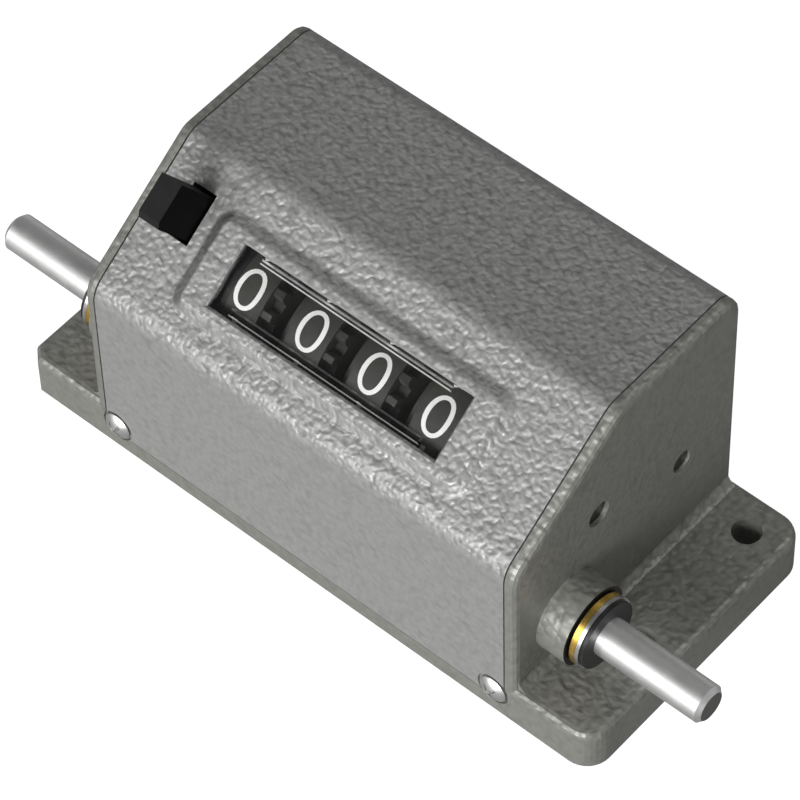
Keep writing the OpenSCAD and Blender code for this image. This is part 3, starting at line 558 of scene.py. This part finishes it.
def metal(name, colour, worn, roughness, lines=FINE_GRIND, depth=LINE_DEPTH, metallic=1.0,
          painted_end_shade=None):
    """A machined metal: fine lines in the bump, blotches in roughness and colour.

    Faces that look left or right may get a painted shade colour.
    """
    material, tree, out = new_material(name)
    lined = use_group(tree, fine_lines, (-500, 0), Lines_per_Metre=lines, Along=LINES_ALONG)
    skin = mix_colour(tree, lined["Wear"], (-300, 150), colour, worn)
    # Painted shade on the end faces of the shaft and the axles
    if painted_end_shade:
        skin = mix_colour(tree, ends_of(tree, (-700, 500)), (-100, 150), skin, painted_end_shade)
    rough = map_range(tree, lined["Wear"], (-100, -50), 0.0, 1.0,
                      roughness, roughness + WORN_ROUGHER)
    fill(tree, out, Surface=principled(
        tree, (300, 0), Base_Color=skin, Roughness=rough, Metallic=metallic,
        Normal=bump(tree, lined["Height"], (0, -250), depth)))
    return material


print("metal finish ready")

# %% The metals of the counter
# The shaft ends and the axle ends get painted shade
ground_steel = metal("ground_steel", (0.70, 0.70, 0.695), (0.63, 0.63, 0.625), 0.46,
                     depth=SHAFT_LINE_DEPTH, painted_end_shade=(0.18, 0.18, 0.175))
axle_steel = metal("axle_steel", (0.3, 0.3, 0.295), (0.22, 0.22, 0.215), 0.3,
                   painted_end_shade=(0.05, 0.05, 0.047))
washer_steel = metal("washer_steel", (0.75, 0.75, 0.74), (0.62, 0.62, 0.61), 0.26)
bright_steel = metal("bright_steel", (0.78, 0.78, 0.77), (0.68, 0.68, 0.67), 0.34,
                     lines=COARSE_GRIND)
plated_steel = metal("plated_steel", (0.5, 0.5, 0.49), (0.36, 0.36, 0.35), 0.3,
                     lines=COARSE_GRIND)
turned_brass = metal("turned_brass", (0.88, 0.60, 0.14), (0.7, 0.43, 0.09), 0.24)
black_oxide = metal("black_oxide", (0.02, 0.02, 0.021), (0.035, 0.035, 0.035), 0.34,
                    metallic=0.4)
print("metals ready")

# %% Metal nodes
finishes = {
    ground_steel: ["drive_shaft", "pinion_axle", "gear_pin"],
    axle_steel: ["wheel_axle", "reset_shaft"],
    bright_steel: ["cover_screws"],
    washer_steel: ["thrust_washers", "clutch_washer"],
    plated_steel: ["bracket_screws", "guide_screw", "pinion_bracket", "button_guide",
                   "inner_collars", "axle_spacers", "pinion_spacers", "reset_sleeve",
                   "zeroing_hammers", "reset_lever", "button_spring"],
    turned_brass: ["bearing_bushes", "drive_gear", "driven_gear"],
    black_oxide: ["outer_collars"],
}
for material, names in finishes.items():
    for name in names:
        dress(nodes[name], material)
print("metals on", sum(len(names) for names in finishes.values()), "nodes")

# %% [markdown]
# ## The return spring
#
# The spring under the button gets shorter as the button goes in. Its rigid solid is hidden and a
# coil is put in its place. A small ring, the section of the wire, is swept round and up by the
# screw modifier, its two open ends are closed, and the coil is tilted to the slope. The solid
# tells where the coil lies and how long it is.

# %% Measure the solid spring
SLOPE = math.radians(35)
UPHILL = Vector((0.0, math.cos(SLOPE), math.sin(SLOPE)))
OUTWARD = Vector((0.0, -math.sin(SLOPE), math.cos(SLOPE)))
WIRE_RADIUS, COIL_RADIUS = 0.25 * MM, 2.65 * MM
COIL_TURNS, STEPS_PER_TURN, WIRE_SIDES = 4.5, 20, 10
COIL_SMOOTH = math.radians(60)


def reach(node, way):
    """The lowest and highest place of a node along a direction."""
    places = [v.co.dot(way) for v in nodes[node].data.vertices]
    return min(places), max(places)


coil_middle = sum((way * sum(reach("button_spring", way)) / 2 for way in (RIGHT, UPHILL, OUTWARD)),
                  Vector((0, 0, 0)))
coil_low, coil_high = reach("button_spring", OUTWARD)
coil_length = coil_high - coil_low
rise = coil_length - 2 * WIRE_RADIUS
print("spring", round(coil_length / MM, 2), "mm long")

# %% Return spring
def apply_modifier(piece, name, kind, **settings):
    """Adds a modifier, sets it and applies it."""
    select_only(piece)
    modifier = piece.modifiers.new(name, kind)
    for setting, value in settings.items():
        setattr(modifier, setting, value)
    bpy.ops.object.modifier_apply(modifier=modifier.name)


clear_selection()
bpy.ops.mesh.primitive_circle_add(vertices=WIRE_SIDES, radius=WIRE_RADIUS,
                                  location=(COIL_RADIUS, 0, 0), rotation=(math.pi / 2, 0, 0))
bpy.ops.object.transform_apply(location=True, rotation=True, scale=True)
coil = bpy.context.object
coil.name = "return_spring"
steps = int(COIL_TURNS * STEPS_PER_TURN)
apply_modifier(coil, "sweep", "SCREW", angle=COIL_TURNS * 2 * math.pi, screw_offset=rise,
               steps=steps, render_steps=steps)
bpy.ops.object.mode_set(mode="EDIT")
bpy.ops.mesh.select_all(action="SELECT")
bpy.ops.mesh.fill_holes(sides=WIRE_SIDES)
bpy.ops.mesh.normals_make_consistent(inside=False)
bpy.ops.object.mode_set(mode="OBJECT")
coil.rotation_euler = (SLOPE, 0, 0)
coil.location = coil_middle - OUTWARD * rise / 2
bpy.ops.object.transform_apply(location=True, rotation=True, scale=True)
bpy.ops.object.shade_smooth_by_angle(angle=COIL_SMOOTH)
dress(coil, plated_steel)
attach(coil, "housing")
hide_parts("button_spring")
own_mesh(coil)
print(coil.name, len(coil.data.polygons), "faces")

# %% [markdown]
# ## Mouldings, gasket and window
#
# The wheels and the button are moulded black; the wheels are a little browner where dust has
# reached them. The transfer pinions are natural nylon. One group gives all of them the fine skin
# of the mould and the dust. The right side of the button gets a painted shade, and the left edge
# of the thousands wheel gets the painted shadow of the window's edge; masks by facing and by
# place pick them out.

# %% Moulded skin group
GRAIN_SIZE, SKIN_DEPTH = 0.3 * MM, 0.01 * MM
DUST_SCALE, DUST_FROM, DUST_FULL = 260.0, 0.4, 0.75

moulding, start, end = new_group("Moulded Skin", {"Grain Size": GRAIN_SIZE}, ("Height", "Dust"))
grain_scale = math_node(moulding, "DIVIDE", (-1000, 100), 1.0, start["Grain Size"])
place = coordinate(moulding, "Object", (-1400, -200))
grain = noise(moulding, place, grain_scale, (-700, 100), Detail=2.0, Roughness=0.5)["Fac"]
dust = noise(moulding, place, DUST_SCALE, (-700, -200), Detail=5.0, Roughness=0.65)["Fac"]
settled = ramp(moulding, dust, (-400, -200), DUST_FROM, DUST_FULL)
fill(moulding, end, Height=grain, Dust=settled)
print("group", moulding.name)

# %% Moulded finish
# Black for painted shade and painted shadow
PAINTED_SHADE_BLACK = (0.001, 0.001, 0.001)


def moulded(name, colour, dusty, roughness, shine=0.5, painted_shade_right=None, painted_shadow_left=None):
    """A moulded plastic with a fine skin and a trace of dust.

    Faces that look right may get a painted shade colour, and all that lies left of a given place
    is painted black as a painted shadow.
    """
    material, tree, out = new_material(name)
    skin = use_group(tree, moulding, (-500, 0), Grain_Size=GRAIN_SIZE)
    shade = mix_colour(tree, skin["Dust"], (-300, 100), colour, dusty)
    # Painted shade on the faces that look right, such as the right side of the button
    if painted_shade_right:
        looking_right = turned_to(tree, RIGHT, (-700, 400))
        shade = mix_colour(tree, looking_right, (-100, 100), shade, painted_shade_right)
    # Painted shadow of the window's left edge on the left edge of the thousands wheel
    if painted_shadow_left:
        place = parts_of(tree, coordinate(tree, "Object", (-900, 600)), (-700, 600))["X"]
        painted_shade_mask = math_node(tree, "LESS_THAN", (-500, 600), place, painted_shadow_left)
        shade = mix_colour(tree, painted_shade_mask, (100, 100), shade, PAINTED_SHADE_BLACK)
    fill(tree, out, Surface=principled(
        tree, (300, 0), Base_Color=shade, Roughness=roughness, Specular_IOR_Level=shine,
        Normal=bump(tree, skin["Height"], (0, -200), SKIN_DEPTH)))
    return material


print("moulded finish ready")

# %% The mouldings of the counter
WHEELS = ("units", "tens", "hundreds", "thousands")
# The last width is that of the painted shadow of the window's edge on the thousands wheel
BAND_FROM_LEFT, BAND_WIDTH, PAINTED_SHADOW_WIDTH = 5.1 * MM, 6.4 * MM, 0.9 * MM
band_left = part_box("thousands_wheel")[0][0] + BAND_FROM_LEFT - BAND_WIDTH / 2
wheel_black = moulded("wheel_black", (0.026, 0.025, 0.022), (0.034, 0.032, 0.028), 0.55,
                      shine=0.3, painted_shadow_left=band_left + PAINTED_SHADOW_WIDTH)
# The right side of the button gets a painted shade
button_black = moulded("button_black", (0.017, 0.017, 0.0175), (0.024, 0.024, 0.024), 0.5,
                       shine=0.05, painted_shade_right=PAINTED_SHADE_BLACK)
nylon = moulded("nylon", (0.72, 0.70, 0.64), (0.6, 0.58, 0.52), 0.4)
gasket_black = moulded("gasket_black", (0.003, 0.003, 0.003), (0.006, 0.006, 0.006), 0.9,
                       shine=0.1)
for wheel in WHEELS:
    dress(nodes[wheel + "_wheel"], wheel_black)
    if wheel != "thousands":
        dress(nodes[wheel + "_pinion"], nylon)
dress(nodes["reset_button"], button_black)
dress(nodes["bush_gaskets"], gasket_black)
print("moulded finishes done")

# %% [markdown]
# The window is a clear moulding whose raised middle has bevelled edges. These catch the light as
# fine lines, given here as painted highlight: their faces are partly frosted white, the upper ones
# more than the lower, and the smaller share on the lower rib is painted shade. A real glass shader
# would shade the wheels and make the render grainy, so rays for shadows and for soft light pass
# the window as if it weren't there.

# %% Window
CLEAR, CLEAR_INDEX, MOST_HAZE = (0.97, 0.98, 0.98, 1), 1.49, 0.04
# Frosted white on the rib faces stands in for their light lines, a painted highlight
HIGHLIGHT_FROST, HIGHLIGHT_FROST_ROUGHNESS = (0.85, 0.85, 0.84, 1), 0.5
RIB_LEAN, RIB_LEAN_SPAN = 0.5, 0.3
HIGHLIGHT_FROST_LOW, HIGHLIGHT_FROST_HIGH, HIGHLIGHT_FROST_REACH = 0.2, 0.45, 3 * MM

lens_low, lens_high = (Vector(corner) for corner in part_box("window_lens"))
rib_middle = (lens_low + lens_high).dot(UPHILL) / 2
window_clear, tree, out = new_material("window_clear")
dust = use_group(tree, moulding, (-500, 0))["Dust"]
haze = map_range(tree, dust, (-100, -50), 0.0, 1.0, 0.0, MOST_HAZE)
glass = principled(tree, (300, 0), Base_Color=CLEAR, IOR=CLEAR_INDEX, Transmission_Weight=1.0,
                   Roughness=haze)
frosted_highlight = principled(tree, (300, -500), Base_Color=HIGHLIGHT_FROST, Roughness=HIGHLIGHT_FROST_ROUGHNESS)
outward = vector_math(tree, "DOT_PRODUCT", (-300, 500),
                      coordinate(tree, "Normal", (-500, 500)), OUTWARD)
leaning = math_node(tree, "COMPARE", (-100, 500), outward, RIB_LEAN, RIB_LEAN_SPAN)
rib_sides = math_node(tree, "SUBTRACT", (0, 600), leaning, ends_of(tree, (-500, 900)), clamp=True)
uphill = vector_math(tree, "DOT_PRODUCT", (-300, 700),
                     coordinate(tree, "Object", (-500, 700)), UPHILL)
# Less frost on the lower rib than on the upper one: painted shade on the lower rib
highlight_frost = map_range(tree, uphill, (-100, 700), rib_middle - HIGHLIGHT_FROST_REACH, rib_middle + HIGHLIGHT_FROST_REACH,
                  HIGHLIGHT_FROST_LOW, HIGHLIGHT_FROST_HIGH)
share = math_node(tree, "MULTIPLY", (60, 500), rib_sides, highlight_frost)
pane = mix_shaders(tree, share, (420, -200), glass, frosted_highlight)
path = new_node(tree, "ShaderNodeLightPath", (-100, 300)).outputs
unseen = math_node(tree, "MAXIMUM", (100, 300), path["Is Shadow Ray"], path["Is Diffuse Ray"])
nothing = new_node(tree, "ShaderNodeBsdfTransparent", (300, 200)).outputs[0]
fill(tree, out, Surface=mix_shaders(tree, unseen, (520, 100), pane, nothing))
dress(nodes["window_lens"], window_clear)
print("window done")

# %% [markdown]
# ## The white figures
#
# Every wheel carries the figures 0 to 9, printed white round its band. On the real wheel they are
# paint a few hundredths of a millimetre thick. A picture on the band could show them, but real
# shapes stay sharp in a close view and turn with the wheel. Each figure starts as a flat letter
# shape, is made a mesh, and gets cuts across so that it can bend. Solidify gives it the thickness
# of the paint, and a bend wraps it round the band. Ten figures are modelled once, and copied to
# all four wheels.

# %% Sizes taken from the wheels
FIGURE_WIDTH, FIGURE_HEIGHT = 4.3 * MM, 6.3 * MM
PAINT_THICKNESS = 0.09 * MM
FIRST_ANGLE = math.radians(125.0)
FIGURE_STEP = math.radians(36.0)
wheel_low, wheel_high = (Vector(corner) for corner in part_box("units_wheel"))
band_radius = (wheel_high.z - wheel_low.z) / 2
print("band radius", round(band_radius / MM, 2), "mm")

# %% Model one figure
# Size and middle of the letter 0 as it is typed, and how much thinner its strokes get
ZERO_WIDTH, ZERO_HEIGHT, ZERO_MIDDLE = 0.414, 0.674, (0.25, 0.341)
STROKE_OFFSET, CURVE_STEPS = -0.013, 6
STRIPS, MERGE_DISTANCE = 12, 0.002 * MM


def flat_figure(number):
    """The figure as a flat mesh in the XZ plane, facing the front, its middle at the origin."""
    clear_selection()
    bpy.ops.object.text_add()
    letter = bpy.context.object
    letter.data.body = str(number)
    letter.data.resolution_u = CURVE_STEPS
    letter.data.offset = STROKE_OFFSET
    bpy.ops.object.convert(target="MESH")
    letter = bpy.context.object
    letter.name = f"figure_{number}"
    across, along = FIGURE_WIDTH / ZERO_WIDTH, FIGURE_HEIGHT / ZERO_HEIGHT
    letter.scale = (across, along, 1.0)
    letter.location = (-ZERO_MIDDLE[0] * across, 0, -ZERO_MIDDLE[1] * along)
    letter.rotation_euler = (math.pi / 2, 0, 0)
    bpy.ops.object.transform_apply(location=True, rotation=True, scale=True)
    return letter


def cut_across(piece):
    """Cuts a flat figure into level strips, so that it can bend smoothly."""
    select_only(piece)
    bpy.ops.object.mode_set(mode="EDIT")
    for i in range(1, STRIPS):
        height = FIGURE_HEIGHT * (i / STRIPS - 0.5)
        bpy.ops.mesh.select_all(action="SELECT")
        bpy.ops.mesh.bisect(plane_co=(0, 0, height), plane_no=(0, 0, 1))
    bpy.ops.mesh.select_all(action="SELECT")
    bpy.ops.mesh.remove_doubles(threshold=MERGE_DISTANCE)
    bpy.ops.object.mode_set(mode="OBJECT")


def bent_figure(number):
    """The figure with the thickness of its paint, bent to the radius of the band."""
    piece = flat_figure(number)
    cut_across(piece)
    apply_modifier(piece, "paint", "SOLIDIFY", thickness=PAINT_THICKNESS, offset=0.0)
    heights = [v.co.z for v in piece.data.vertices]
    apply_modifier(piece, "wrap", "SIMPLE_DEFORM", deform_method="BEND", deform_axis="X",
                   angle=(max(heights) - min(heights)) / band_radius)
    return piece


figures = [bent_figure(number) for number in range(10)]
print("figures:", [len(piece.data.polygons) for piece in figures], "faces")

# %% Set them round the four wheels
def placed_copy(figure, angle, middle):
    """A copy of a bent figure, turned about the axle to its angle and moved to its wheel."""
    copy = figure.copy()
    copy.data = figure.data.copy()
    bpy.context.scene.collection.objects.link(copy)
    to_axis = Matrix.Translation((0, -band_radius, 0))
    turned = Matrix.Rotation(angle - math.pi, 4, "X")
    copy.matrix_world = Matrix.Translation(middle) @ turned @ to_axis
    return copy


def wheel_figures(wheel):
    """All ten figures of a wheel as one piece that rides on it."""
    low, high = (Vector(corner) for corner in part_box(wheel + "_wheel"))
    middle = Vector((low.x + BAND_FROM_LEFT, (low.y + high.y) / 2, (low.z + high.z) / 2))
    select_only(*[placed_copy(figure, FIRST_ANGLE + number * FIGURE_STEP, middle)
                  for number, figure in enumerate(figures)])
    bpy.ops.object.transform_apply(location=True, rotation=True, scale=True)
    bpy.ops.object.join()
    piece = bpy.context.object
    piece.name = wheel + "_figures"
    select_only(piece)
    bpy.ops.object.shade_flat()
    dress(piece, figure_white)
    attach(piece, wheel)
    return piece


figure_white = moulded("figure_white", (0.80, 0.80, 0.78), (0.70, 0.70, 0.68), 0.5)
for wheel in WHEELS:
    piece = wheel_figures(wheel)
    print(piece.name, len(piece.data.polygons), "faces")
for figure in figures:
    bpy.data.objects.remove(figure)
